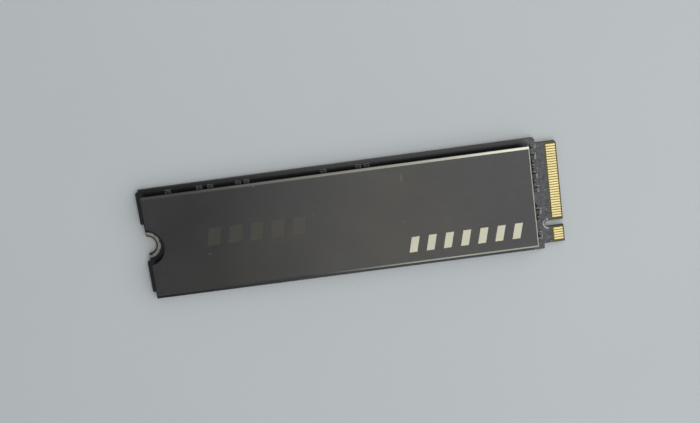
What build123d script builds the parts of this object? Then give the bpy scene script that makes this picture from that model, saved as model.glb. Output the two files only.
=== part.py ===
from build123d import *
import os

# A solid state drive module: a circuit board with parts on its upper side, under a bonded heat
# spreader. Millimetres. X runs from the centre of the fixing notch to the contact edge, Y runs
# across the board, and Z = 0 is the board's underside.

# Edge contacts, numbered as the socket numbers them: odd on top, even underneath
pin_total = 75
key_first_pin = 59
key_last_pin = 66
contact_pitch = 0.5
contact_width = 0.35
contact_length = 1.75
contact_edge_gap = 0.25
plating_thickness = 0.04

# Circuit board
board_length = 80.0
board_thickness = 0.8
shoulder_width = 1.075
tongue_length = 4.0
tongue_side_margin = 0.5
tongue_bevel = 0.12
right_corner_radius = 0.5
left_corner_radius = 0.2
shoulder_inner_radius = 0.3
key_slot_width = 1.2
key_slot_depth = 3.5

# Fixing notch, a half hole at the tail, with a copper land round it on each face
notch_radius = 1.75
land_hole_gap = 0.25
land_width = 0.55

# Stubs left at the tail where the board was snapped from its panel
stub_length = 0.6
stub_width = 6.3
stub_corner_radius = 0.25
right_stub_margin = 0.55
left_stub_margin = 1.45

# Heat spreader and the pad that bonds it
spreader_thickness = 0.78
spreader_side_inset = 1.1
spreader_tail_inset = 0.65
spreader_shoulder_inset = 1.35
spreader_side_bevel = 0.4
spreader_end_bevel = 0.15
screw_recess_radius = 3.65
thermal_pad_thickness = 0.2

# Print let into the heat spreader's face: two rows of plain slanted bars
print_thickness = 0.02
bar_slant = 0.8
pale_bar_count = 7
pale_bar_width = 1.5
pale_bar_pitch = 3.3
pale_bar_height = 3.0
pale_row_end_gap = 2.6
pale_row_side_gap = 2.3
dark_bar_count = 5
dark_bar_width = 2.4
dark_bar_pitch = 4.1
dark_bar_height = 3.4
dark_row_tail_gap = 11.2
dark_row_side_gap = 8.8

# Chip packages, all of one height so that the pad meets each of them
package_height = 1.35
package_corner_radius = 0.15
substrate_thickness = 0.2
ball_height = 0.25
ball_radius = 0.2
ball_sides = 8
ball_edge_margin = 2.3
nand_length = 12.0
nand_side_margin = 2.0
nand_gap = 0.5
nand_tail_gap = 5.2
nand_ball_pitch = 1.0
controller_size = 12.0
controller_ball_pitch = 0.65
controller_shoulder_gap = 5.0
power_strip_length = 4.0

# Two-ended chip parts: length, width, height and end cap of each size
tiny_chip_length = 0.6
tiny_chip_width = 0.3
tiny_chip_height = 0.3
tiny_chip_end = 0.15
small_chip_length = 1.0
small_chip_width = 0.5
small_chip_height = 0.5
small_chip_end = 0.22
large_chip_length = 1.6
large_chip_width = 0.8
large_chip_height = 0.8
large_chip_end = 0.35
inductor_length = 2.4
inductor_width = 2.0
inductor_height = 1.1
inductor_end = 0.5

# Other parts on the board
part_gap = 0.4
flat_pad_height = 0.08
flat_pad_width = 0.2
flat_pad_length = 0.45
flat_pad_gap = 0.15
power_chip_size = 3.0
power_chip_height = 0.75
power_chip_pads_per_side = 5
flash_length = 3.0
flash_width = 2.2
flash_height = 0.55
flash_pads_per_side = 4
crystal_length = 2.5
crystal_width = 2.0
crystal_base_height = 0.35
crystal_lid_height = 0.2
crystal_lid_inset = 0.15
switch_length = 2.9
switch_width = 1.6
switch_height = 0.95
switch_standoff = 0.1
switch_lead_width = 0.4
switch_lead_thickness = 0.15
switch_lead_reach = 0.55
switch_lead_pitch = 0.95
inductor_count = 3

# Where the small parts stand
power_row_gap = 1.5
power_row_pitch = 1.1
power_row_count = 15
bulk_row_pitch = 2.4
bulk_row_count = 6
coupling_row_shoulder_gap = 2.4
coupling_pair_spacing = 0.6
coupling_pair_ys = (7.5, 5.0, 2.4, 0.0)
strip_capacitor_shoulder_gap = 1.0
strip_capacitor_ys = (7.5, 3.8, 1.05, -3.45)
strip_resistor_shoulder_gap = 0.72
strip_resistor_ys = (9.3, 6.3, 5.05, 2.5, -2.2, -4.75, -8.2)

# Rows of small parts along the board's sides. The share is how far out a row stands, from 0 at the
# memory packages' side to 1 at the board's.
edge_row_share = 0.43
right_edge_part_xs = (5.7, 11.8, 13.9, 19.3, 20.9, 35.7, 42.4, 44.0)
left_edge_part_xs = (8.0, 17.5, 20.0, 30.5, 33.0, 43.0, 45.5, 52.0)

# Print and bare copper dots on the board
outline_gap = 0.12
outline_line = 0.1
slot_arc_gap = 0.15
slot_arc_line = 0.3
fiducial_radius = 0.22
fiducial_length = 0.95
fiducial_margin = 1.6

# Label on the underside, and the round test pads beside it
label_thickness = 0.1
label_tail_gap = 8.0
label_shoulder_gap = 8.0
label_side_margin = 1.5
label_corner_radius = 1.0
test_pad_radius = 0.45
test_pad_pitch = 2.0
test_pad_count = 6
test_pad_shoulder_gap = 3.5


def pin_y(pin):
    """Place across the board of a pin, or of a point between two pins."""
    return ((pin_total + 1) / 2 - pin) * contact_pitch / 2


# Sizes that follow from the ones above
tongue_width = 2 * (pin_y(1) + contact_width / 2 + tongue_side_margin)
board_width = tongue_width + 2 * shoulder_width
shoulder_x = board_length - tongue_length
key_slot_y = pin_y((key_first_pin + key_last_pin) / 2)
package_top = board_thickness + package_height
mould_bottom = board_thickness + ball_height + substrate_thickness
spreader_bottom = package_top + thermal_pad_thickness
spreader_top = spreader_bottom + spreader_thickness
spreader_end_x = shoulder_x - spreader_shoulder_inset
spreader_length = spreader_end_x - spreader_tail_inset
spreader_width = board_width - 2 * spreader_side_inset
controller_end_x = shoulder_x - controller_shoulder_gap
controller_start_x = controller_end_x - controller_size
controller_x = controller_end_x - controller_size / 2
nand_width = board_width - 2 * nand_side_margin
nand_pitch = nand_length + nand_gap
nand_room = controller_start_x - power_strip_length - nand_tail_gap
nand_count = int((nand_room + nand_gap) / nand_pitch)
nand_centres = [nand_tail_gap + nand_length / 2 + index * nand_pitch for index in range(nand_count)]
board_top = Plane.XY.offset(board_thickness)

# Which way a two-ended part lies, in degrees
along_x = 0
along_y = 90

os.makedirs("parts", exist_ok=True)


def draw_contacts(first_pin):
    """Every second pin from the first one, leaving out those that the key slot takes."""
    centre_x = board_length - contact_edge_gap - contact_length / 2
    for pin in range(first_pin, pin_total + 1, 2):
        if not key_first_pin <= pin <= key_last_pin:
            with Locations((centre_x, pin_y(pin))):
                Rectangle(contact_length, contact_width)


def draw_balls(centre_x, length, width, pitch):
    """Grid of solder balls under one package, as many as it has room for. Each is a short post."""
    columns = int((length - 2 * ball_edge_margin) / pitch) + 1
    rows = int((width - 2 * ball_edge_margin) / pitch) + 1
    with Locations((centre_x, 0)):
        with GridLocations(pitch, pitch, columns, rows):
            RegularPolygon(ball_radius, ball_sides)


def draw_boxes(places, length, width, mode=Mode.ADD):
    """One rectangle at each place; a place is x, y and the turn in degrees."""
    for x, y, turn in places:
        with Locations(Location((x, y, 0), (0, 0, turn))):
            Rectangle(length, width, mode=mode)


def draw_chip_ends(places, length, width, end):
    """Both end caps of each two-ended part."""
    for x, y, turn in places:
        with Locations(Location((x, y, 0), (0, 0, turn))):
            with GridLocations(length - end, 0, 2, 1):
                Rectangle(end, width)


def draw_outlines(places, length, width):
    """Printed frame round each part of that length and width."""
    outer = 2 * (outline_gap + outline_line)
    draw_boxes(places, length + outer, width + outer)
    inner = 2 * outline_gap
    draw_boxes(places, length + inner, width + inner, Mode.SUBTRACT)


def draw_side_lines(places, length, width):
    """Printed line along both sides of each part of that length and width."""
    for x, y, turn in places:
        with Locations(Location((x, y, 0), (0, 0, turn))):
            with GridLocations(0, width + 2 * outline_gap + outline_line, 1, 2):
                Rectangle(length + 2 * outline_gap, outline_line)


def draw_slanted_bars(first_x, centre_y, count, width, pitch, height):
    """Row of plain slanted bars that starts at first_x."""
    corners = [(0, 0), (width, 0), (width + bar_slant, height), (bar_slant, height)]
    for index in range(count):
        with Locations((first_x + index * pitch, centre_y - height / 2)):
            Polygon(*corners, align=None)


def draw_pale_bars():
    """Row near the spreader's connector end, on the side of the key slot."""
    row_length = (pale_bar_count - 1) * pale_bar_pitch + pale_bar_width + bar_slant
    draw_slanted_bars(
        spreader_end_x - pale_row_end_gap - row_length,
        -spreader_width / 2 + pale_row_side_gap + pale_bar_height / 2,
        pale_bar_count,
        pale_bar_width,
        pale_bar_pitch,
        pale_bar_height,
    )


def draw_dark_bars():
    """Row near the spreader's tail."""
    draw_slanted_bars(
        spreader_tail_inset + dark_row_tail_gap,
        -spreader_width / 2 + dark_row_side_gap + dark_bar_height / 2,
        dark_bar_count,
        dark_bar_width,
        dark_bar_pitch,
        dark_bar_height,
    )


def row_across(x, count, pitch):
    """Places of a row of parts across the board, centred on it, each lying along X."""
    return [(x, (index - (count - 1) / 2) * pitch, along_x) for index in range(count)]


# Circuit board
with BuildPart() as circuit_board:
    with BuildSketch():
        Rectangle(shoulder_x, board_width, align=(Align.MIN, Align.CENTER))
        with Locations((shoulder_x, 0)):
            Rectangle(tongue_length, tongue_width, align=(Align.MIN, Align.CENTER))
        for side, corner_radius in ((-1, right_corner_radius), (0, left_corner_radius)):
            tongue_corners = vertices().group_by(Axis.X)[-1].sort_by(Axis.Y)
            shoulder_corners = vertices().filter_by_position(Axis.X, shoulder_x, shoulder_x)
            fillet([tongue_corners[side], shoulder_corners.sort_by(Axis.Y)[side]], corner_radius)
        shoulder_corners = vertices().filter_by_position(Axis.X, shoulder_x, shoulder_x)
        fillet(shoulder_corners.sort_by(Axis.Y)[1:-1], shoulder_inner_radius)
        with Locations(
            (0, board_width / 2 - right_stub_margin - stub_width / 2),
            (0, -board_width / 2 + left_stub_margin + stub_width / 2),
        ):
            Rectangle(stub_length, stub_width, align=(Align.MAX, Align.CENTER))
        fillet(vertices().group_by(Axis.X)[0], stub_corner_radius)
        Circle(notch_radius, mode=Mode.SUBTRACT)
        with Locations((board_length - key_slot_depth + key_slot_width / 2, key_slot_y)):
            Circle(key_slot_width / 2, mode=Mode.SUBTRACT)
            Rectangle(
                key_slot_depth,
                key_slot_width,
                align=(Align.MIN, Align.CENTER),
                mode=Mode.SUBTRACT,
            )
    extrude(amount=board_thickness)
    with BuildSketch(Plane.XZ.offset(-tongue_width / 2)):
        with Locations((board_length, 0), (board_length, board_thickness)):
            Rectangle(tongue_bevel * 2**0.5, tongue_bevel * 2**0.5, rotation=45)
    extrude(amount=tongue_width, mode=Mode.SUBTRACT)
circuit_board.part.label = "circuit_board"
export_step(circuit_board.part, "parts/circuit_board.step")

# Gold contacts on both faces of the tongue
with BuildPart() as top_contacts:
    with BuildSketch(board_top):
        draw_contacts(1)
    extrude(amount=plating_thickness)
top_contacts.part.label = "top_contacts"
export_step(top_contacts.part, "parts/top_contacts.step")

with BuildPart() as bottom_contacts:
    with BuildSketch(Plane.XY.offset(-plating_thickness)):
        draw_contacts(2)
    extrude(amount=plating_thickness)
bottom_contacts.part.label = "bottom_contacts"
export_step(bottom_contacts.part, "parts/bottom_contacts.step")

# Lands of the fixing notch, which the screw's head and the standoff press on
with BuildPart() as notch_lands:
    with BuildSketch(board_top, Plane.XY.offset(-plating_thickness)):
        Circle(notch_radius + land_hole_gap + land_width)
        Circle(notch_radius + land_hole_gap, mode=Mode.SUBTRACT)
        split(bisect_by=Plane.YZ, keep=Keep.TOP)
    extrude(amount=plating_thickness)
notch_lands.part.label = "notch_lands"
export_step(notch_lands.part, "parts/notch_lands.step")

# Heat spreader: a flat plate with a round recess at the notch, so that a screw's head has room
with BuildPart() as heat_spreader:
    with BuildSketch(Plane.XY.offset(spreader_bottom)):
        with Locations((spreader_tail_inset, 0)):
            Rectangle(spreader_length, spreader_width, align=(Align.MIN, Align.CENTER))
        Circle(screw_recess_radius, mode=Mode.SUBTRACT)
    extrude(amount=spreader_thickness)
    upper_edges = heat_spreader.faces().sort_by(Axis.Z)[-1].edges()
    chamfer(upper_edges.filter_by(Axis.X), spreader_side_bevel)
    upper_edges = heat_spreader.faces().sort_by(Axis.Z)[-1].edges()
    chamfer(upper_edges.filter_by(Axis.Y), spreader_end_bevel)
    with BuildSketch(Plane.XY.offset(spreader_top)):
        draw_pale_bars()
        draw_dark_bars()
    extrude(amount=-print_thickness, mode=Mode.SUBTRACT)
heat_spreader.part.label = "heat_spreader"
export_step(heat_spreader.part, "parts/heat_spreader.step")

# Pad that bonds the spreader to the packages
with BuildPart() as thermal_pad:
    with BuildSketch(Plane.XY.offset(package_top)):
        with Locations((nand_tail_gap, 0)):
            Rectangle(
                controller_end_x - nand_tail_gap,
                nand_width,
                align=(Align.MIN, Align.CENTER),
            )
    extrude(amount=thermal_pad_thickness)
thermal_pad.part.label = "thermal_pad"
export_step(thermal_pad.part, "parts/thermal_pad.step")

# Print that fills the shallow pockets in the spreader, flush with its face
with BuildPart() as pale_bars:
    with BuildSketch(Plane.XY.offset(spreader_top)):
        draw_pale_bars()
    extrude(amount=-print_thickness)
pale_bars.part.label = "pale_bars"
export_step(pale_bars.part, "parts/pale_bars.step")

with BuildPart() as dark_bars:
    with BuildSketch(Plane.XY.offset(spreader_top)):
        draw_dark_bars()
    extrude(amount=-print_thickness)
dark_bars.part.label = "dark_bars"
export_step(dark_bars.part, "parts/dark_bars.step")

# Memory packages: solder balls, a substrate and a moulded body each
for index, centre_x in enumerate(nand_centres, start=1):
    with BuildPart() as nand_package:
        with BuildSketch(Plane.XY.offset(mould_bottom)):
            with Locations((centre_x, 0)):
                RectangleRounded(nand_length, nand_width, package_corner_radius)
        extrude(amount=package_top - mould_bottom)
    nand_package.part.label = f"nand_package_{index}"
    export_step(nand_package.part, f"parts/nand_package_{index}.step")

with BuildPart() as nand_substrates:
    with BuildSketch(Plane.XY.offset(board_thickness + ball_height)):
        for centre_x in nand_centres:
            with Locations((centre_x, 0)):
                RectangleRounded(nand_length, nand_width, package_corner_radius)
    extrude(amount=substrate_thickness)
nand_substrates.part.label = "nand_substrates"
export_step(nand_substrates.part, "parts/nand_substrates.step")

with BuildPart() as nand_solder_balls:
    with BuildSketch(board_top):
        for centre_x in nand_centres:
            draw_balls(centre_x, nand_length, nand_width, nand_ball_pitch)
    extrude(amount=ball_height)
nand_solder_balls.part.label = "nand_solder_balls"
export_step(nand_solder_balls.part, "parts/nand_solder_balls.step")

# Controller package
with BuildPart() as controller_package:
    with BuildSketch(Plane.XY.offset(mould_bottom)):
        with Locations((controller_x, 0)):
            RectangleRounded(controller_size, controller_size, package_corner_radius)
    extrude(amount=package_top - mould_bottom)
controller_package.part.label = "controller_package"
export_step(controller_package.part, "parts/controller_package.step")

with BuildPart() as controller_substrate:
    with BuildSketch(Plane.XY.offset(board_thickness + ball_height)):
        with Locations((controller_x, 0)):
            RectangleRounded(controller_size, controller_size, package_corner_radius)
    extrude(amount=substrate_thickness)
controller_substrate.part.label = "controller_substrate"
export_step(controller_substrate.part, "parts/controller_substrate.step")

with BuildPart() as controller_solder_balls:
    with BuildSketch(board_top):
        draw_balls(controller_x, controller_size, controller_size, controller_ball_pitch)
    extrude(amount=ball_height)
controller_solder_balls.part.label = "controller_solder_balls"
export_step(controller_solder_balls.part, "parts/controller_solder_balls.step")

# Power chip, beside the controller on the right, with its pads and three inductors
controller_side_y = controller_size / 2 + part_gap
power_chip_x = controller_start_x + power_chip_size / 2
power_chip_y = controller_side_y + power_chip_size / 2
with BuildPart() as power_chip:
    with BuildSketch(Plane.XY.offset(board_thickness + flat_pad_height)):
        with Locations((power_chip_x, power_chip_y)):
            Rectangle(power_chip_size, power_chip_size)
    extrude(amount=power_chip_height)
power_chip.part.label = "power_chip"
export_step(power_chip.part, "parts/power_chip.step")

with BuildPart() as power_chip_pads:
    with BuildSketch(board_top):
        with Locations((power_chip_x, power_chip_y)):
            side_room = power_chip_size - 2 * (flat_pad_length + flat_pad_gap) - flat_pad_width
            side_pitch = side_room / (power_chip_pads_per_side - 1)
            row_spacing = power_chip_size - flat_pad_length
            centre_pad = power_chip_size - 2 * (flat_pad_length + flat_pad_gap)
            with GridLocations(side_pitch, row_spacing, power_chip_pads_per_side, 2):
                Rectangle(flat_pad_width, flat_pad_length)
            with GridLocations(row_spacing, side_pitch, 2, power_chip_pads_per_side):
                Rectangle(flat_pad_length, flat_pad_width)
            Rectangle(centre_pad, centre_pad)
    extrude(amount=flat_pad_height)
power_chip_pads.part.label = "power_chip_pads"
export_step(power_chip_pads.part, "parts/power_chip_pads.step")

inductor_pitch = inductor_width + part_gap
first_inductor_x = controller_start_x + power_chip_size + part_gap + inductor_width / 2
inductor_y = controller_side_y + inductor_length / 2
inductor_places = [
    (first_inductor_x + index * inductor_pitch, inductor_y, along_y)
    for index in range(inductor_count)
]
with BuildPart() as inductors:
    with BuildSketch(board_top):
        draw_boxes(inductor_places, inductor_length - 2 * inductor_end, inductor_width)
    extrude(amount=inductor_height)
inductors.part.label = "inductors"
export_step(inductors.part, "parts/inductors.step")

with BuildPart() as inductor_ends:
    with BuildSketch(board_top):
        draw_chip_ends(inductor_places, inductor_length, inductor_width, inductor_end)
    extrude(amount=inductor_height)
inductor_ends.part.label = "inductor_ends"
export_step(inductor_ends.part, "parts/inductor_ends.step")

# Clock crystal, start-up memory and load switch, in a row beside the controller on the left
crystal_x = controller_start_x + crystal_length / 2
crystal_y = -controller_side_y - crystal_width / 2
with BuildPart() as crystal_base:
    with BuildSketch(board_top):
        with Locations((crystal_x, crystal_y)):
            Rectangle(crystal_length, crystal_width)
    extrude(amount=crystal_base_height)
crystal_base.part.label = "crystal_base"
export_step(crystal_base.part, "parts/crystal_base.step")

with BuildPart() as crystal_lid:
    with BuildSketch(Plane.XY.offset(board_thickness + crystal_base_height)):
        with Locations((crystal_x, crystal_y)):
            RectangleRounded(
                crystal_length - 2 * crystal_lid_inset,
                crystal_width - 2 * crystal_lid_inset,
                crystal_lid_inset,
            )
    extrude(amount=crystal_lid_height)
crystal_lid.part.label = "crystal_lid"
export_step(crystal_lid.part, "parts/crystal_lid.step")

flash_x = controller_start_x + crystal_length + part_gap + flash_length / 2
flash_y = -controller_side_y - flash_width / 2
with BuildPart() as boot_flash:
    with BuildSketch(Plane.XY.offset(board_thickness + flat_pad_height)):
        with Locations((flash_x, flash_y)):
            Rectangle(flash_length, flash_width)
    extrude(amount=flash_height)
boot_flash.part.label = "boot_flash"
export_step(boot_flash.part, "parts/boot_flash.step")

with BuildPart() as boot_flash_pads:
    with BuildSketch(board_top):
        with Locations((flash_x, flash_y)):
            row_spacing = flash_length - flat_pad_length
            side_pitch = (flash_width - 2 * flat_pad_gap - flat_pad_width) / (flash_pads_per_side - 1)
            with GridLocations(row_spacing, side_pitch, 2, flash_pads_per_side):
                Rectangle(flat_pad_length, flat_pad_width)
    extrude(amount=flat_pad_height)
boot_flash_pads.part.label = "boot_flash_pads"
export_step(boot_flash_pads.part, "parts/boot_flash_pads.step")

switch_x = flash_x + flash_length / 2 + part_gap + switch_length / 2
switch_y = -controller_side_y - switch_lead_reach - switch_width / 2
with BuildPart() as load_switch:
    with BuildSketch(Plane.XY.offset(board_thickness + switch_standoff)):
        with Locations((switch_x, switch_y)):
            Rectangle(switch_length, switch_width)
    extrude(amount=switch_height)
load_switch.part.label = "load_switch"
export_step(load_switch.part, "parts/load_switch.step")

# Each lead leaves the switch's side at half height, steps down and ends in a foot on the board
lead_side = switch_width / 2
lead_knee = lead_side + switch_lead_reach / 2
lead_toe = lead_side + switch_lead_reach
lead_shoulder = board_thickness + switch_standoff + switch_height / 2
lead_foot_top = board_thickness + switch_lead_thickness
lead_profile = [
    (lead_side, lead_shoulder),
    (lead_knee, lead_shoulder),
    (lead_knee, lead_foot_top),
    (lead_toe, lead_foot_top),
    (lead_toe, board_thickness),
    (lead_knee - switch_lead_thickness, board_thickness),
    (lead_knee - switch_lead_thickness, lead_shoulder - switch_lead_thickness),
    (lead_side, lead_shoulder - switch_lead_thickness),
]
outer_lead_planes = [
    Plane((switch_x + side * switch_lead_pitch, switch_y, 0), x_dir=(0, 1, 0), z_dir=(1, 0, 0))
    for side in (-1, 1)
]
middle_lead_plane = Plane((switch_x, switch_y, 0), x_dir=(0, 1, 0), z_dir=(1, 0, 0))
with BuildPart() as load_switch_leads:
    with BuildSketch(*outer_lead_planes):
        Polygon(*lead_profile, align=None)
        mirror(about=Plane.YZ)
    extrude(amount=switch_lead_width / 2, both=True)
    with BuildSketch(middle_lead_plane):
        Polygon(*[(-across, height) for across, height in lead_profile], align=None)
    extrude(amount=switch_lead_width / 2, both=True)
load_switch_leads.part.label = "load_switch_leads"
export_step(load_switch_leads.part, "parts/load_switch_leads.step")

# Rows of small parts
power_strip_x = controller_start_x - power_strip_length / 2
edge_row_y = nand_width / 2 + edge_row_share * (board_width - nand_width) / 2
edge_places = [(x, edge_row_y, along_x) for x in right_edge_part_xs]
edge_places += [(x, -edge_row_y, along_x) for x in left_edge_part_xs]
small_capacitor_places = edge_places + row_across(
    power_strip_x - power_row_gap / 2, power_row_count, power_row_pitch
)
strip_resistor_places = [
    (shoulder_x - strip_resistor_shoulder_gap, y, along_y) for y in strip_resistor_ys
]
resistor_places = strip_resistor_places + row_across(
    power_strip_x + power_row_gap / 2, power_row_count, power_row_pitch
)
strip_capacitor_places = [
    (shoulder_x - strip_capacitor_shoulder_gap, y, along_x) for y in strip_capacitor_ys
]
bulk_row_x = controller_end_x + part_gap + large_chip_length / 2
bulk_capacitor_places = strip_capacitor_places + row_across(
    bulk_row_x, bulk_row_count, bulk_row_pitch
)
coupling_capacitor_places = [
    (shoulder_x - coupling_row_shoulder_gap, y + side * coupling_pair_spacing / 2, along_x)
    for y in coupling_pair_ys
    for side in (-1, 1)
]

with BuildPart() as small_capacitors:
    with BuildSketch(board_top):
        draw_boxes(small_capacitor_places, small_chip_length - 2 * small_chip_end, small_chip_width)
    extrude(amount=small_chip_height)
small_capacitors.part.label = "small_capacitors"
export_step(small_capacitors.part, "parts/small_capacitors.step")

with BuildPart() as small_capacitor_ends:
    with BuildSketch(board_top):
        draw_chip_ends(small_capacitor_places, small_chip_length, small_chip_width, small_chip_end)
    extrude(amount=small_chip_height)
small_capacitor_ends.part.label = "small_capacitor_ends"
export_step(small_capacitor_ends.part, "parts/small_capacitor_ends.step")

with BuildPart() as resistors:
    with BuildSketch(board_top):
        draw_boxes(resistor_places, small_chip_length - 2 * small_chip_end, small_chip_width)
    extrude(amount=small_chip_height)
resistors.part.label = "resistors"
export_step(resistors.part, "parts/resistors.step")

with BuildPart() as resistor_ends:
    with BuildSketch(board_top):
        draw_chip_ends(resistor_places, small_chip_length, small_chip_width, small_chip_end)
    extrude(amount=small_chip_height)
resistor_ends.part.label = "resistor_ends"
export_step(resistor_ends.part, "parts/resistor_ends.step")

with BuildPart() as bulk_capacitors:
    with BuildSketch(board_top):
        draw_boxes(bulk_capacitor_places, large_chip_length - 2 * large_chip_end, large_chip_width)
    extrude(amount=large_chip_height)
bulk_capacitors.part.label = "bulk_capacitors"
export_step(bulk_capacitors.part, "parts/bulk_capacitors.step")

with BuildPart() as bulk_capacitor_ends:
    with BuildSketch(board_top):
        draw_chip_ends(bulk_capacitor_places, large_chip_length, large_chip_width, large_chip_end)
    extrude(amount=large_chip_height)
bulk_capacitor_ends.part.label = "bulk_capacitor_ends"
export_step(bulk_capacitor_ends.part, "parts/bulk_capacitor_ends.step")

with BuildPart() as coupling_capacitors:
    with BuildSketch(board_top):
        draw_boxes(coupling_capacitor_places, tiny_chip_length - 2 * tiny_chip_end, tiny_chip_width)
    extrude(amount=tiny_chip_height)
coupling_capacitors.part.label = "coupling_capacitors"
export_step(coupling_capacitors.part, "parts/coupling_capacitors.step")

with BuildPart() as coupling_capacitor_ends:
    with BuildSketch(board_top):
        draw_chip_ends(coupling_capacitor_places, tiny_chip_length, tiny_chip_width, tiny_chip_end)
    extrude(amount=tiny_chip_height)
coupling_capacitor_ends.part.label = "coupling_capacitor_ends"
export_step(coupling_capacitor_ends.part, "parts/coupling_capacitor_ends.step")

# Print by the parts that show past the spreader, and an arc round the key slot's end
with BuildPart() as board_print:
    with BuildSketch(board_top):
        draw_side_lines(edge_places, small_chip_length, small_chip_width)
        draw_outlines([strip_resistor_places[-1]], small_chip_length, small_chip_width)
        draw_outlines(strip_capacitor_places, large_chip_length, large_chip_width)
        slot_end_x = board_length - key_slot_depth + key_slot_width / 2
        arc_radius = key_slot_width / 2 + slot_arc_gap
        with Locations((slot_end_x, key_slot_y)):
            Circle(arc_radius + slot_arc_line)
            Circle(arc_radius, mode=Mode.SUBTRACT)
            Rectangle(
                key_slot_depth,
                2 * (arc_radius + slot_arc_line),
                align=(Align.MIN, Align.CENTER),
                mode=Mode.SUBTRACT,
            )
    extrude(amount=print_thickness)
board_print.part.label = "board_print"
export_step(board_print.part, "parts/board_print.step")

# Bare copper that the assembly machine aims at: a long spot at one shoulder, and a dot at the tail
with BuildPart() as fiducials:
    with BuildSketch(board_top):
        with Locations((shoulder_x, board_width / 2 - fiducial_margin)):
            SlotOverall(fiducial_length, 2 * fiducial_radius, rotation=90)
        with Locations((fiducial_margin, -board_width / 2 + fiducial_margin)):
            Circle(fiducial_radius)
    extrude(amount=plating_thickness)
fiducials.part.label = "fiducials"
export_step(fiducials.part, "parts/fiducials.step")

# Underside: the label that the module lies on, and a row of test pads
with BuildPart() as rear_label:
    with BuildSketch(Plane.XY.offset(-label_thickness)):
        with Locations((label_tail_gap, 0)):
            Rectangle(
                shoulder_x - label_shoulder_gap - label_tail_gap,
                board_width - 2 * label_side_margin,
                align=(Align.MIN, Align.CENTER),
            )
        fillet(vertices(), label_corner_radius)
    extrude(amount=label_thickness)
rear_label.part.label = "rear_label"
export_step(rear_label.part, "parts/rear_label.step")

with BuildPart() as test_pads:
    with BuildSketch(Plane.XY.offset(-plating_thickness)):
        with Locations((shoulder_x - test_pad_shoulder_gap, 0)):
            with GridLocations(0, test_pad_pitch, 1, test_pad_count):
                Circle(test_pad_radius)
    extrude(amount=plating_thickness)
test_pads.part.label = "test_pads"
export_step(test_pads.part, "parts/test_pads.step")
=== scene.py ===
import math

import bmesh
import bpy
from mathutils import Matrix, Vector


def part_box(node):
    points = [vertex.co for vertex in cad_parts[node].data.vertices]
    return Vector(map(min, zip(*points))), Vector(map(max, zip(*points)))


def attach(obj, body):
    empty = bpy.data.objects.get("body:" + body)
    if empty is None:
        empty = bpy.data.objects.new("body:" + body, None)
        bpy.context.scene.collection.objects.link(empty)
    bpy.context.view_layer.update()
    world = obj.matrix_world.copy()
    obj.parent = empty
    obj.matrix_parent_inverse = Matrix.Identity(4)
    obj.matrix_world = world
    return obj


# Looks of a solid state drive module. Lengths are millimetres in the CAD frame until a mesh is made:
# X runs from the fixing notch to the contact edge, Y across the board, and Z is up.

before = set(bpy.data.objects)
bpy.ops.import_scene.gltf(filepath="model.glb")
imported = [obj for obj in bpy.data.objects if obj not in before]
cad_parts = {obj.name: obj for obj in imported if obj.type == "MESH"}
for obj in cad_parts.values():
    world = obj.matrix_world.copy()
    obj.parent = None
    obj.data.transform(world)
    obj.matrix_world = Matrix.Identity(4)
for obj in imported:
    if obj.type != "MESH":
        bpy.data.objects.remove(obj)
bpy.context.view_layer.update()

millimetre = 0.001

# Camera, placed as the photograph was taken: from above, tipped 15 degrees off straight down. Its range
# is in metres.
camera_place = (48.05, 63.0, 231.45)
camera_tip = -15.085
camera_turn = -7.765
camera_lens = 64.07
camera_range = (0.01, 50.0)
sensor_width = 36.0

# Softboxes, in metres: centre, the point it faces, width, height and power in watts. The one overhead
# ends just past the tail, so the plate reflects less of it at that end.
softboxes = {
    "overhead": ((1.19, 0.0, 0.8), (1.19, 0.0, 0.0), 2.5, 2.8, 32.0),
    "edge": ((0.37, 0.92, 0.22), (0.04, 0.0, 0.0), 0.5, 0.32, 0.5),
}

# Surroundings: pale at the horizon, as the floor is, and darker overhead. Heights are a direction's Z.
horizon_level = 0.45
zenith_level = 0.15
horizon_height = 0.2
zenith_height = 0.85
world_colour = (0.93, 0.96, 1.0, 1.0)

# Floor, in metres
floor_size = 6.0

# Colours as a screen shows them, with 8 bits a channel
screen_colours = {
    "floor": (184, 189, 191),
    "plate": (66, 66, 66),
    "plate_patch": (68, 67, 64),
    "plate_tail_painted_light": (74, 74, 75),
    "plate_smudge": (104, 104, 100),
    "plate_speck": (150, 150, 142),
    "plate_scuff": (92, 92, 90),
    "bevel_painted_shade": (44, 44, 44),
    "bevel_bare": (224, 223, 204),
    "mask": (20, 21, 23),
    "mask_painted_light": (42, 44, 46),
    "mask_blotch": (68, 69, 71),
    "mask_dust": (62, 64, 65),
    "mask_pit": (24, 25, 27),
    "mask_glint": (108, 110, 111),
    "laminate": (84, 78, 34),
    "laminate_weave": (64, 60, 26),
    "cut_resin": (30, 30, 28),
    "cut_glass": (78, 72, 52),
    "gold": (211, 194, 138),
    "notch_land": (154, 151, 140),
    "notch_land_dull": (72, 68, 50),
    "pad_silicone": (84, 88, 96),
    "pale_ink": (196, 194, 172),
    "dark_ink": (75, 74, 68),
    "package_substrate": (28, 66, 40),
    "solder": (126, 128, 130),
    "solder_dull": (98, 100, 103),
    "moulding_compound": (34, 34, 36),
    # Tin plating: its own metal, darkened further as painted shade
    "tin_plating": (118, 119, 118),
    "tin_plating_dull": (98, 98, 95),
    "ferrite": (72, 72, 76),
    # Capacitor ceramic: its own brown tone, darkened further as painted shade
    "capacitor_ceramic": (46, 42, 39),
    "resistor_glaze": (28, 28, 31),
    "crystal_ceramic": (196, 186, 168),
    "crystal_cap": (206, 198, 180),
    "crystal_cap_dull": (180, 172, 154),
    "board_ink": (164, 166, 164),
    "board_ink_painted_shade": (124, 124, 126),
    "board_ink_gap": (52, 54, 55),
    "label": (226, 226, 222),
    "label_dark_field": (150, 154, 158),
    "label_pale_field": (178, 180, 182),
}

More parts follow.
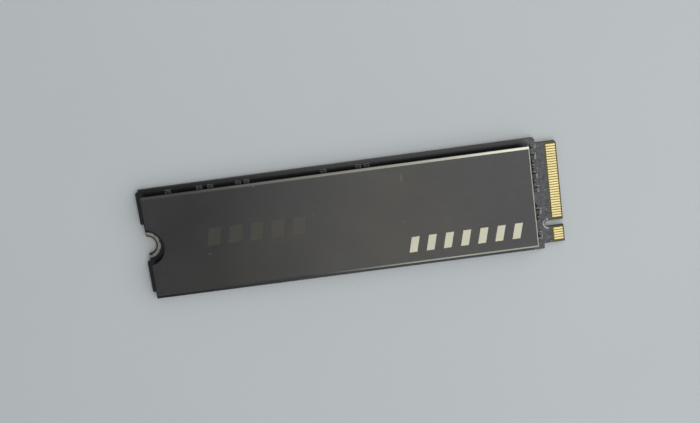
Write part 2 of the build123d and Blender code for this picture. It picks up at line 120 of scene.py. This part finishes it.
# Patterns: the levels between which most of a noise lies, the share of a speck's radius that is solid,
# and the share of the specks that aren't faint
noise_levels = (0.25, 0.75)
speck_core = 0.5
full_specks = 0.9

# Metals: the levels of a noise between which the duller tone comes in
dull_levels = (0.48, 0.7)

# Moulded parts: sizes of the clouds and of the speckled cells, in grains, and how much paler a speck is
clouds_to_grain = 20
cells_to_grain = 6
paler_speck = 1.8

# Least and most roughness, as shares of the one that a finish is given
metal_roughness = (0.75, 1.3)
moulded_roughness = (0.88, 1.12)
ink_roughness = (0.85, 1.15)

# Heat spreader: bevel widths, and how far their masks' soft borders reach before and past the line where
# a bevel begins, and under and over the one at its foot
side_bevel_width = 0.4
end_bevel_width = 0.15
side_bevel_border = (0.01, 0.02)
end_bevel_border = (0.015, 0.005)
bevel_foot_border = (0.03, 0.01)

# Heat spreader: places along X where the painted lighter tail ends, and between which the bare metal's
# painted highlight comes in on the bevel by the key slot and on the other one, which keeps a little of it
# up to the tail. The sides meet in a zone along the middle, of that half width.
painted_light_tail_end = 14.0
slot_side_highlight_span = (27.0, 60.0)
other_side_highlight_span = (0.0, 72.0)
other_side_least_highlight = 0.05
middle_zone = 1.0

# Heat spreader: strength of the scuffs, how metallic the plate is, its least and most roughness, and the
# roughness of the bevels
scuff_strength = 0.5
plate_metallic = 0.7
plate_roughness = (0.2, 0.3)
bevel_roughness = 0.2

# Board: the length over which the mask's painted light, a lighter tone, comes in up to the spreader's
# end, how far ahead of the contacts the bare laminate starts and is full, how fine its weave is, the
# values of a normal's Z between which a face turns into a cut edge, and the roughness of the mask and of
# bare laminate
painted_light_fade = 2.0
laminate_margin = (0.34, 0.28)
weave_scale = 2.2
cut_facing = (0.4, 0.2)
board_roughness = (0.27, 0.62)

# Print on the board: places along X between which painted shade makes it darker towards the tail
board_ink_shade_span = (64.0, 40.0)

# Label fields: start and end as shares of the label's length, lowest and highest Y, and colour. Their
# borders are soft over that much on each side.
label_fields = (
    (0.04, 0.30, -7.5, 7.5, "label_dark_field"),
    (0.36, 0.96, -7.5, -5.2, "label_pale_field"),
)
label_field_border = 0.05

# Round-overs on the pieces whose edges catch light: width, segments and nodes. Corners closer than the
# joined gap become one, and edges sharper than the angle, in degrees, are rounded. The weight is how much
# the larger faces count in the shading.
round_overs = (
    (0.03, 2, ("heat_spreader", "circuit_board")),
    (0.05, 2, ("nand_package_1", "nand_package_2", "nand_package_3", "nand_package_4")),
    (0.05, 2, ("controller_package",)),
    (0.02, 1, ("bulk_capacitors", "small_capacitors", "resistors", "inductors", "crystal_base")),
    (0.05, 2, ("bulk_capacitor_ends", "small_capacitor_ends", "resistor_ends", "inductor_ends")),
    (0.04, 2, ("power_chip", "boot_flash", "load_switch", "crystal_lid", "load_switch_leads")),
    (0.08, 3, ("thermal_pad",)),
)
joined_gap = 0.0005
sharp_angle = 28
flat_face_weight = 80

# Traces and vias that stand on the solder mask. Every fourth via is bare. The key slot's sides have none.
mask_relief = 0.02
trace_width = 0.13
trace_gap = 0.02
via_outer_radius = 0.19
via_inner_radius = 0.13
via_sides = 20
bare_via_every = 4
bare_via_first = 1
top_trace_lengths = (0.55, 1.05, 0.8, 1.4, 0.65, 1.2)
bottom_trace_lengths = (1.3, 3.1, 2.2, 3.6, 1.7, 2.7, 3.3)
slot_y = -6.125
slot_clearance = 1.35

# Solder fillets at the ends of the two-ended parts: how far they reach, and their height and width as
# shares of the end's
fillet_reach = 0.11
fillet_rise = 0.55
fillet_width = 0.92
fillet_steps = 4
two_ended_parts = (
    ("small_capacitor_ends", "small_capacitors"),
    ("resistor_ends", "resistors"),
    ("bulk_capacitor_ends", "bulk_capacitors"),
    ("inductor_ends", "inductors"),
    ("coupling_capacitor_ends", "coupling_capacitors"),
)

# Decimal places of a millimetre to which the corners of one solid agree
corner_places = 3


def srgb(red, green, blue):
    """Linear colour of an 8-bit screen colour."""
    linear = []
    for value in (red / 255, green / 255, blue / 255):
        if value <= 0.04045:
            linear.append(value / 12.92)
        else:
            linear.append(((value + 0.055) / 1.055) ** 2.4)
    return (*linear, 1.0)


colours = {name: srgb(*channels) for name, channels in screen_colours.items()}


class Finish:
    """Node material of one kind of surface. Its patterns lie in the piece's own millimetres."""

    def __init__(self, name, colour, **constants):
        self.material = bpy.data.materials.new(name)
        self.material.use_nodes = True
        self.tree = self.material.node_tree
        self.tree.nodes.clear()
        self.shader = self.tree.nodes.new("ShaderNodeBsdfPrincipled")
        output = self.tree.nodes.new("ShaderNodeOutputMaterial")
        self.tree.links.new(self.shader.outputs["BSDF"], output.inputs["Surface"])
        self.shader.inputs["Base Color"].default_value = colour
        for socket, value in constants.items():
            self.shader.inputs[socket].default_value = value
        self.colour = colour
        self.normal = None
        coordinates = self.tree.nodes.new("ShaderNodeTexCoord")
        self.place = self.node(
            "ShaderNodeVectorMath",
            {0: coordinates.outputs["Object"], 1: (1 / millimetre,) * 3},
            operation="MULTIPLY",
        ).outputs[0]
        axes = self.node("ShaderNodeSeparateXYZ", {0: self.place})
        self.x, self.y, self.z = axes.outputs

    def node(self, kind, inputs, **settings):
        """New node, with its inputs set or linked."""
        made = self.tree.nodes.new(kind)
        for key, value in settings.items():
            setattr(made, key, value)
        for socket, value in inputs.items():
            if isinstance(value, bpy.types.NodeSocket):
                self.tree.links.new(value, made.inputs[socket])
            else:
                made.inputs[socket].default_value = value
        return made

    def link(self, socket, value):
        """Leads a value to one of the shader's sockets."""
        self.tree.links.new(value, self.shader.inputs[socket])

    def math(self, operation, first, second=0.0):
        """Sum, product or the like of two values."""
        return self.node("ShaderNodeMath", {0: first, 1: second}, operation=operation).outputs[0]

    def both(self, first, second):
        """Mask of what lies in both masks."""
        return self.math("MULTIPLY", first, second)

    def scale(self, value, start, end, low, high, course="LINEAR"):
        """Number that goes from low to high as the value goes from start to end."""
        inputs = {"Value": value, "From Min": start, "From Max": end, "To Min": low, "To Max": high}
        return self.node("ShaderNodeMapRange", inputs, interpolation_type=course).outputs["Result"]

    def rise(self, value, start, end):
        """Mask that goes smoothly from 0 at start to 1 at end."""
        return self.scale(value, start, end, 0.0, 1.0, "SMOOTHSTEP")

    def band(self, value, start, end, border):
        """Mask of the stretch from start to end, with soft borders."""
        return self.both(
            self.rise(value, start - border, start + border),
            self.rise(value, end + border, end - border),
        )

    def mix_numbers(self, mask, low, high):
        """Number that is low where the mask is 0 and high where it is 1."""
        return self.node("ShaderNodeMix", {0: mask, 2: low, 3: high}, data_type="FLOAT").outputs[0]

    def mix_colours(self, mask, low, high, way="MIX"):
        """Colour that is low where the mask is 0 and high where it is 1."""
        inputs = {0: mask, 6: low, 7: high}
        return self.node("ShaderNodeMix", inputs, data_type="RGBA", blend_type=way).outputs[2]

    def noise(self, size, detail=2.0, stretch=(1.0, 1.0, 1.0)):
        """Cloudy pattern with features of that size."""
        stretched = self.node(
            "ShaderNodeVectorMath", {0: self.place, 1: stretch}, operation="DIVIDE"
        ).outputs[0]
        inputs = {"Vector": stretched, "Scale": 1 / size, "Detail": detail}
        return self.node("ShaderNodeTexNoise", inputs).outputs["Fac"]

    def patches(self, start, end, **pattern):
        """Mask of the places where a noise is high: it goes from 0 at start to 1 at end."""
        return self.rise(self.noise(**pattern), start, end)

    def specks(self, size, radius, share):
        """Mask of small dots, in that share of the cells. The radius is a share of a cell's size."""
        cells = self.node("ShaderNodeTexVoronoi", {"Vector": self.place, "Scale": 1 / size})
        chance = self.node("ShaderNodeSeparateColor", {0: cells.outputs["Color"]}).outputs[0]
        return self.both(
            self.rise(cells.outputs["Distance"], radius, radius * speck_core),
            self.rise(chance, share, share * full_specks),
        )

    def set_colour(self, colour):
        self.colour = colour
        self.link("Base Color", colour)

    def paint(self, mask, colour):
        """Lays a colour over what is there."""
        self.set_colour(self.mix_colours(mask, self.colour, colour))

    def vary(self, pattern, amount):
        """Makes the colour lighter and darker with a pattern, by up to that share."""
        level = self.scale(pattern, *noise_levels, 1 - amount, 1 + amount)
        grey = self.node("ShaderNodeCombineColor", {0: level, 1: level, 2: level}).outputs[0]
        self.set_colour(self.mix_colours(1.0, self.colour, grey, "MULTIPLY"))

    def drive(self, socket, mask, low, high):
        """Lets a mask move one of the shader's numbers from low to high."""
        self.link(socket, self.scale(mask, 0.0, 1.0, low, high))

    def roughen(self, pattern, roughness, least, most):
        """Lets a pattern move the roughness between two shares of it."""
        self.drive("Roughness", pattern, roughness * least, roughness * most)

    def bump(self, height, depth, strength):
        """Relief of that depth in millimetres."""
        inputs = {"Strength": strength, "Distance": depth * millimetre, "Height": height}
        if self.normal is not None:
            inputs["Normal"] = self.normal
        self.normal = self.node("ShaderNodeBump", inputs).outputs["Normal"]
        self.link("Normal", self.normal)


def box_of(node):
    """Lowest and highest corner of a CAD node in millimetres."""
    low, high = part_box(node)
    return low / millimetre, high / millimetre


board_low, board_high = box_of("circuit_board")
spreader_high = box_of("heat_spreader")[1]
contacts_low = box_of("top_contacts")[0]
label_low, label_high = box_of("rear_label")


def bevel_mask(finish, outward, edge, width, border):
    """Mask of the bevel along one of the plate's upper edges."""
    line = edge - width
    foot = spreader_high.z - width
    before, past = border
    under, over = bevel_foot_border
    return finish.both(
        finish.rise(outward, line - before, line + past),
        finish.rise(finish.z, foot - under, foot + over),
    )


def spreader_finish():
    """Dark anodised aluminium with cut bevels, whose bare metal is painted as a highlight that fades
    towards the tail.
    """
    finish = Finish("anodised_aluminium", colours["plate"])
    finish.paint(finish.patches(start=0.35, end=0.65, size=30.0, detail=1.0), colours["plate_patch"])
    # Painted light: the plate is painted lighter towards the tail.
    finish.paint(finish.rise(finish.x, painted_light_tail_end, 0.0), colours["plate_tail_painted_light"])
    finish.vary(finish.noise(size=14.0, detail=3.0), amount=0.07)
    finish.vary(finish.noise(size=0.09, stretch=(5.0, 1.0, 1.0)), amount=0.1)
    finish.vary(finish.noise(size=1.3, detail=4.0), amount=0.04)
    smudges = finish.both(finish.specks(size=5.3, radius=0.08, share=0.35), finish.noise(size=0.5))
    finish.paint(smudges, colours["plate_smudge"])
    finish.paint(finish.specks(size=3.1, radius=0.03, share=0.3), colours["plate_speck"])
    scuffs = finish.patches(start=0.7, end=0.78, size=1.1, stretch=(1.0, 5.0, 1.0))
    finish.paint(finish.both(scuffs, scuff_strength), colours["plate_scuff"])

    outward = finish.math("ABSOLUTE", finish.y)
    # Shares of the side bevels' painted highlight, rising along X on each side
    other_side_highlight = finish.scale(finish.x, *other_side_highlight_span, other_side_least_highlight, 1.0, "SMOOTHSTEP")
    slot_side_highlight = finish.rise(finish.x, *slot_side_highlight_span)
    side = finish.rise(finish.y, -middle_zone, middle_zone)
    share = finish.mix_numbers(side, slot_side_highlight, other_side_highlight)
    side_bevel = bevel_mask(finish, outward, spreader_high.y, side_bevel_width, side_bevel_border)
    end_bevel = bevel_mask(finish, finish.x, spreader_high.x, end_bevel_width, end_bevel_border)
    slot_side = finish.rise(finish.y, middle_zone, -middle_zone)
    # Painted shade on the bevel by the key slot, before its painted highlight comes in.
    finish.paint(finish.both(side_bevel, slot_side), colours["bevel_painted_shade"])
    # Painted highlight: the bevels' bare metal colour comes in along X, brighter towards the contacts;
    # the end bevel is bare all along.
    bare = finish.math("MAXIMUM", finish.both(side_bevel, share), end_bevel)
    finish.paint(bare, colours["bevel_bare"])
    finish.drive("Metallic", bare, low=plate_metallic, high=1.0)
    rough = finish.scale(finish.noise(size=6.0, detail=3.0), 0.0, 1.0, *plate_roughness)
    finish.link("Roughness", finish.mix_numbers(bare, rough, bevel_roughness))
    finish.bump(finish.noise(size=0.08, detail=3.0, stretch=(3.0, 1.0, 1.0)), depth=0.004, strength=0.6)
    return finish.material


def board_finish():
    """Black solder mask, painted lighter past the spreader's end, with bare laminate round the contacts
    and at the cut edges.
    """
    finish = Finish("solder_mask", colours["mask"], IOR=1.5)
    # Painted light: past the spreader's end the mask is painted lighter, with painted glints, standing in
    # for the bright surroundings it reflects. Blotches and pits lie only in that strip.
    painted_light_strip = finish.rise(finish.x, spreader_high.x - painted_light_fade, spreader_high.x)
    blotches = finish.patches(start=0.33, end=0.57, size=0.7, detail=4.0)
    finish.paint(painted_light_strip, colours["mask_painted_light"])
    finish.paint(finish.both(painted_light_strip, blotches), colours["mask_blotch"])
    finish.vary(finish.noise(size=5.0, detail=3.0), amount=0.12)
    finish.vary(finish.noise(size=0.25, detail=3.0), amount=0.25)
    finish.paint(finish.specks(size=0.8, radius=0.06, share=0.3), colours["mask_dust"])
    pits = finish.specks(size=0.8, radius=0.3, share=0.5)
    finish.paint(finish.both(painted_light_strip, pits), colours["mask_pit"])
    glints = finish.specks(size=0.95, radius=0.22, share=0.5)
    finish.paint(finish.both(painted_light_strip, glints), colours["mask_glint"])

    margin_start, margin_end = laminate_margin
    bare_zone = finish.rise(finish.x, contacts_low.x - margin_start, contacts_low.x - margin_end)
    bricks = finish.node("ShaderNodeTexBrick", {"Vector": finish.place, "Scale": weave_scale})
    weave = bricks.outputs["Fac"]
    finish.paint(bare_zone, finish.mix_colours(weave, colours["laminate"], colours["laminate_weave"]))
    normal = finish.node("ShaderNodeNewGeometry", {}).outputs["Normal"]
    facing = finish.node("ShaderNodeSeparateXYZ", {0: normal}).outputs[2]
    cut = finish.rise(finish.math("ABSOLUTE", facing), *cut_facing)
    plies = finish.noise(size=0.12, stretch=(14.0, 14.0, 1.0))
    finish.paint(cut, finish.mix_colours(plies, colours["cut_resin"], colours["cut_glass"]))
    finish.drive("Roughness", finish.math("MAXIMUM", bare_zone, cut), *board_roughness)
    finish.bump(finish.noise(size=0.35, detail=3.0), depth=0.012, strength=0.5)
    finish.bump(plies, depth=0.02, strength=0.5)
    return finish.material


def metal_finish(name, patch, grain, roughness, relief):
    """Plated or solder-coated metal with patches of a duller tone."""
    finish = Finish(name, colours[name], Metallic=1.0)
    patches = finish.noise(size=patch, detail=3.0)
    finish.paint(finish.rise(patches, *dull_levels), colours[name + "_dull"])
    finish.vary(finish.noise(size=grain), amount=0.08)
    finish.roughen(patches, roughness, *metal_roughness)
    finish.bump(finish.noise(size=grain, detail=3.0), depth=relief, strength=0.5)
    return finish.material


def gold_finish():
    """Gold plating, wiped along the contacts."""
    finish = Finish("gold_plating", colours["gold"], Metallic=0.8)
    finish.vary(finish.noise(size=1.6), amount=0.07)
    wipes = finish.noise(size=0.06, detail=3.0, stretch=(16.0, 1.0, 1.0))
    finish.vary(wipes, amount=0.08)
    finish.drive("Roughness", wipes, low=0.16, high=0.36)
    finish.bump(wipes, depth=0.004, strength=0.5)
    return finish.material


def moulded_finish(name, grain, roughness, relief):
    """Moulding compound, ceramic or rubber: fine grain and a few paler specks."""
    paler = [min(1.0, value * paler_speck) for value in colours[name][:3]] + [1.0]
    finish = Finish(name, colours[name])
    finish.vary(finish.noise(size=grain * clouds_to_grain, detail=3.0), amount=0.072)
    fine = finish.noise(size=grain, detail=3.0)
    finish.vary(fine, amount=0.12)
    finish.paint(finish.specks(size=grain * cells_to_grain, radius=0.12, share=0.3), paler)
    finish.roughen(fine, roughness, *moulded_roughness)
    finish.bump(fine, depth=relief, strength=0.6)
    return finish.material


def ink_finish(name, metallic, roughness, wear, relief):
    """Printed ink, a little uneven."""
    finish = Finish(name, colours[name], Metallic=metallic)
    finish.vary(finish.noise(size=2.5, detail=3.0), amount=0.05)
    finish.vary(finish.noise(size=0.1), amount=wear)
    finish.roughen(finish.noise(size=0.6), roughness, *ink_roughness)
    finish.bump(finish.noise(size=0.07), depth=relief, strength=0.5)
    return finish.material


def board_ink_finish():
    """Pale print on the board, so thin and worn that the dark mask shows through in places."""
    finish = Finish("board_ink", colours["board_ink"], Roughness=0.55)
    # Painted shade: the print is darker towards the tail.
    finish.paint(finish.rise(finish.x, *board_ink_shade_span), colours["board_ink_painted_shade"])
    gaps = finish.patches(start=0.48, end=0.64, size=0.45, detail=3.0)
    finish.paint(gaps, colours["board_ink_gap"])
    finish.vary(finish.noise(size=0.08), amount=0.1)
    finish.bump(finish.noise(size=0.07), depth=0.004, strength=0.5)
    return finish.material


def label_finish():
    """Pale film with two plain grey fields."""
    finish = Finish("label_film", colours["label"])
    length = label_high.x - label_low.x
    for start, end, lowest, highest, field in label_fields:
        start_x = label_low.x + start * length
        end_x = label_low.x + end * length
        along = finish.band(finish.x, start_x, end_x, label_field_border)
        across = finish.band(finish.y, lowest, highest, label_field_border)
        finish.paint(finish.both(along, across), colours[field])
    finish.vary(finish.noise(size=9.0, detail=3.0), amount=0.03)
    fibres = finish.noise(size=0.15, detail=3.0)
    finish.vary(fibres, amount=0.03)
    finish.drive("Roughness", fibres, low=0.4, high=0.52)
    finish.bump(fibres, depth=0.006, strength=0.4)
    return finish.material


def floor_finish():
    """Pale paper, a little uneven."""
    finish = Finish("floor_paper", colours["floor"], Roughness=0.7)
    finish.vary(finish.noise(size=60.0), amount=0.015)
    finish.vary(finish.noise(size=0.5), amount=0.01)
    return finish.material


# Finishes by the record's material slots
finishes = {
    "board": board_finish(),
    "gold": gold_finish(),
    "notch_metal": metal_finish("notch_land", patch=0.75, grain=0.12, roughness=0.42, relief=0.01),
    "spreader": spreader_finish(),
    "pad": moulded_finish("pad_silicone", grain=0.05, roughness=0.75, relief=0.008),
    "pale_print": ink_finish("pale_ink", metallic=0.3, roughness=0.45, wear=0.05, relief=0.004),
    "dark_print": ink_finish("dark_ink", metallic=0.7, roughness=0.3, wear=0.03, relief=0.0008),
    "substrate": moulded_finish("package_substrate", grain=0.08, roughness=0.45, relief=0.006),
    "solder": metal_finish("solder", patch=0.4, grain=0.08, roughness=0.4, relief=0.008),
    "mould": moulded_finish("moulding_compound", grain=0.05, roughness=0.6, relief=0.01),
    "tin": metal_finish("tin_plating", patch=0.5, grain=0.09, roughness=0.46, relief=0.01),
    "ferrite": moulded_finish("ferrite", grain=0.06, roughness=0.62, relief=0.012),
    # Ceramic colour darkened further as painted shade
    "capacitor": moulded_finish("capacitor_ceramic", grain=0.05, roughness=0.5, relief=0.006),
    "resistor": moulded_finish("resistor_glaze", grain=0.06, roughness=0.28, relief=0.004),
    "crystal_ceramic": moulded_finish("crystal_ceramic", grain=0.05, roughness=0.6, relief=0.006),
    "crystal_metal": metal_finish("crystal_cap", patch=0.8, grain=0.06, roughness=0.28, relief=0.004),
    "board_ink": board_ink_finish(),
    "label": label_finish(),
}
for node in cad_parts.values():
    for material_slot in node.material_slots:
        material_slot.material = finishes[material_slot.material.name]


def soften(name, width, segments):
    """Joins the CAD faces' shared edges and rounds the sharp ones by that width."""
    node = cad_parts[name]
    weld = node.modifiers.new("join", "WELD")
    weld.merge_threshold = joined_gap * millimetre
    bevel = node.modifiers.new("round", "BEVEL")
    bevel.width = width * millimetre
    bevel.segments = segments
    bevel.limit_method = "ANGLE"
    bevel.angle_limit = math.radians(sharp_angle)
    bevel.use_clamp_overlap = True
    even = node.modifiers.new("shade", "WEIGHTED_NORMAL")
    even.keep_sharp = False
    even.weight = flat_face_weight


for width, segments, names in round_overs:
    for name in names:
        soften(name, width, segments)


def link_object(name, data):
    """New object in the scene."""
    made = bpy.data.objects.new(name, data)
    bpy.context.scene.collection.objects.link(made)
    return made


def add_piece(name, form, slot):
    """Makes a form in millimetres a piece of the object."""
    mesh = bpy.data.meshes.new(name)
    form.to_mesh(mesh)
    form.free()
    mesh.transform(Matrix.Scale(millimetre, 4))
    mesh.materials.append(finishes[slot])
    piece = link_object(name, mesh)
    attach(piece, "root")


def add_loops(form, loops, closed_row=True):
    """Faces between neighbouring loops of corners; each loop is closed."""
    rows = [[form.verts.new(corner) for corner in loop] for loop in loops]
    count = len(rows[0])
    pairs = list(zip(rows, rows[1:]))
    if closed_row:
        pairs.append((rows[-1], rows[0]))
    for first, second in pairs:
        for index in range(count):
            following = (index + 1) % count
            form.faces.new((first[index], first[following], second[following], second[index]))
    return rows


def add_block(form, first, last):
    """Closed block between two loops of corners."""
    rows = add_loops(form, [first, last], closed_row=False)
    form.faces.new(rows[1])
    form.faces.new(rows[0][::-1])


def add_prism(form, outline, low, high):
    """Closed block over an outline that goes counter-clockwise seen from above."""
    lower, upper = ([(x, y, z) for x, y in outline] for z in (low, high))
    add_block(form, lower, upper)


def add_ring(form, x, y, inner, outer, low, high):
    """Flat ring, such as the copper round a via."""
    turns = [2 * math.pi * index / via_sides for index in range(via_sides)]
    loops = []
    for radius, z in ((outer, low), (outer, high), (inner, high), (inner, low)):
        loops.append([(x + radius * math.cos(turn), y + radius * math.sin(turn), z) for turn in turns])
    add_loops(form, loops)


def islands_of(name):
    """Low and high corner, in millimetres, of each separate solid of a CAD node."""
    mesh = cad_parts[name].data
    places = [
        tuple(round(value / millimetre, corner_places) for value in vertex.co)
        for vertex in mesh.vertices
    ]
    parent = {place: place for place in places}

    def root(place):
        while parent[place] != place:
            place = parent[place]
        return place

    for polygon in mesh.polygons:
        corners = [places[index] for index in polygon.vertices]
        for corner in corners[1:]:
            first, second = root(corners[0]), root(corner)
            if first != second:
                parent[max(first, second)] = min(first, second)
    groups = {}
    for place in parent:
        groups.setdefault(root(place), []).append(place)
    boxes = []
    for start in sorted(groups):
        columns = list(zip(*groups[start]))
        boxes.append((Vector(map(min, columns)), Vector(map(max, columns))))
    return boxes


# Fan-out: from each contact a covered trace runs back and ends in a via
bare_vias = bmesh.new()
covered_copper = bmesh.new()
half_trace = trace_width / 2
for contacts, lengths, low, high in (
    ("top_contacts", top_trace_lengths, board_high.z, board_high.z + mask_relief),
    ("bottom_contacts", bottom_trace_lengths, board_low.z - mask_relief, board_low.z),
):
    for index, (contact_low, contact_high) in enumerate(islands_of(contacts)):
        y = (contact_low.y + contact_high.y) / 2
        if abs(y - slot_y) < slot_clearance:
            continue
        start_x = contact_low.x - trace_gap
        via_x = start_x - lengths[index % len(lengths)]
        end_x = via_x + via_outer_radius
        outline = [
            (end_x, y - half_trace),
            (start_x, y - half_trace),
            (start_x, y + half_trace),
            (end_x, y + half_trace),
        ]
        add_prism(covered_copper, outline, low, high)
        via_form = bare_vias if index % bare_via_every == bare_via_first else covered_copper
        add_ring(via_form, via_x, y, via_inner_radius, via_outer_radius, low, high)
add_piece("covered_copper", covered_copper, "board")
add_piece("bare_vias", bare_vias, "tin")

# Solder fillets: a wedge of solder with a hollow slope, against the outer face of each end cap
fillets = bmesh.new()
for ends, bodies in two_ended_parts:
    middles = [(low + high) / 2 for low, high in islands_of(bodies)]
    for low, high in islands_of(ends):
        cap = (low + high) / 2
        body = min(middles, key=lambda middle: (middle - cap).length)
        out = cap - body
        out.z = 0
        out.normalize()
        across = Vector((-out.y, out.x, 0))
        half_depth = abs((high - low).dot(out)) / 2
        half_width = abs((high - low).dot(across)) / 2 * fillet_width
        height = (high.z - low.z) * fillet_rise
        foot = Vector((cap.x, cap.y, low.z)) + out * half_depth
        profile = [(0.0, 0.0)]
        for step in range(fillet_steps + 1):
            turn = math.pi / 2 * step / fillet_steps
            profile.append((fillet_reach * (1 - math.sin(turn)), height * (1 - math.cos(turn))))
        sides = []
        for side in (half_width, -half_width):
            edge = foot + across * side
            sides.append([edge + out * reach + Vector((0, 0, rise)) for reach, rise in profile])
        add_block(fillets, *sides)
bmesh.ops.recalc_face_normals(fillets, faces=fillets.faces)
add_piece("solder_fillets", fillets, "solder")

# Floor: plain and pale, under the label on which the module lies
half_floor = floor_size / 2
floor_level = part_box("rear_label")[0].z
floor_corners = [
    (-half_floor, -half_floor, floor_level),
    (half_floor, -half_floor, floor_level),
    (half_floor, half_floor, floor_level),
    (-half_floor, half_floor, floor_level),
]
floor_mesh = bpy.data.meshes.new("floor")
floor_mesh.from_pydata(floor_corners, [], [range(len(floor_corners))])
floor_mesh.materials.append(floor_finish())
floor = link_object("floor", floor_mesh)

# Light
for name, (centre, aim, width, height, watts) in softboxes.items():
    light = bpy.data.lights.new(name, "AREA")
    light.shape = "RECTANGLE"
    light.size = width
    light.size_y = height
    light.energy = watts
    softbox = link_object(name, light)
    softbox.location = centre
    away = Vector(centre) - Vector(aim)
    softbox.rotation_euler = away.to_track_quat("Z", "Y").to_euler()

# Surroundings
world = bpy.data.worlds.new("studio")
world.use_nodes = True
world.node_tree.nodes.clear()
world_output = world.node_tree.nodes.new("ShaderNodeOutputWorld")
backdrop = world.node_tree.nodes.new("ShaderNodeBackground")
backdrop.inputs["Color"].default_value = world_colour
direction = world.node_tree.nodes.new("ShaderNodeTexCoord")
axes = world.node_tree.nodes.new("ShaderNodeSeparateXYZ")
level = world.node_tree.nodes.new("ShaderNodeMapRange")
level.inputs["From Min"].default_value = horizon_height
level.inputs["From Max"].default_value = zenith_height
level.inputs["To Min"].default_value = horizon_level
level.inputs["To Max"].default_value = zenith_level
for output, socket in (
    (direction.outputs["Generated"], axes.inputs[0]),
    (axes.outputs["Z"], level.inputs["Value"]),
    (level.outputs["Result"], backdrop.inputs["Strength"]),
    (backdrop.outputs[0], world_output.inputs["Surface"]),
):
    world.node_tree.links.new(output, socket)
bpy.context.scene.world = world

# Camera
lens = bpy.data.cameras.new("camera")
lens.sensor_fit = "HORIZONTAL"
lens.sensor_width = sensor_width
lens.lens = camera_lens
lens.clip_start, lens.clip_end = camera_range
camera = link_object("camera", lens)
camera.location = Vector(camera_place) * millimetre
camera.rotation_euler = (math.radians(camera_tip), 0, math.radians(camera_turn))
bpy.context.scene.camera = camera

bpy.context.scene.view_settings.view_transform = "Standard"
